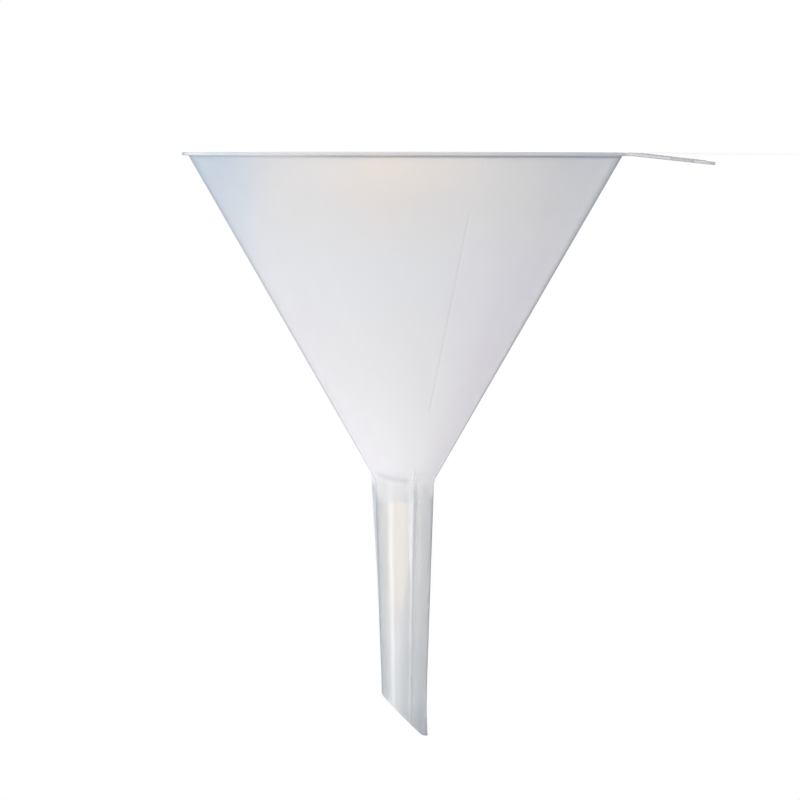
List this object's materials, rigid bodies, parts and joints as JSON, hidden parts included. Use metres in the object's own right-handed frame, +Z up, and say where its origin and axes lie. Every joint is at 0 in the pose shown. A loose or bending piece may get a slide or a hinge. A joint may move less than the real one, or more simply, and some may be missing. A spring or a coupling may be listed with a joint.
{
  "type": "conical laboratory funnel",
  "caption": "Translucent plastic laboratory funnel: straight cone, thin flat rim, long hanging tab and a tapered, ribbed stem with an oblique end, standing on its rim.",
  "frame": {"origin": "centre of the rim's flat face, which it stands on", "axes": "+Z up along the stem towards its oblique end, -X towards the hanging tab and the long side of the oblique end"},
  "size_m": [0.1792, 0.15, 0.1962],
  "materials": {
    "polypropylene": "milky translucent polypropylene, satin on the cone and polished on the stem"
  },
  "bodies": {
    "root": {"funnel": "polypropylene"}
  },
  "joints": []
}
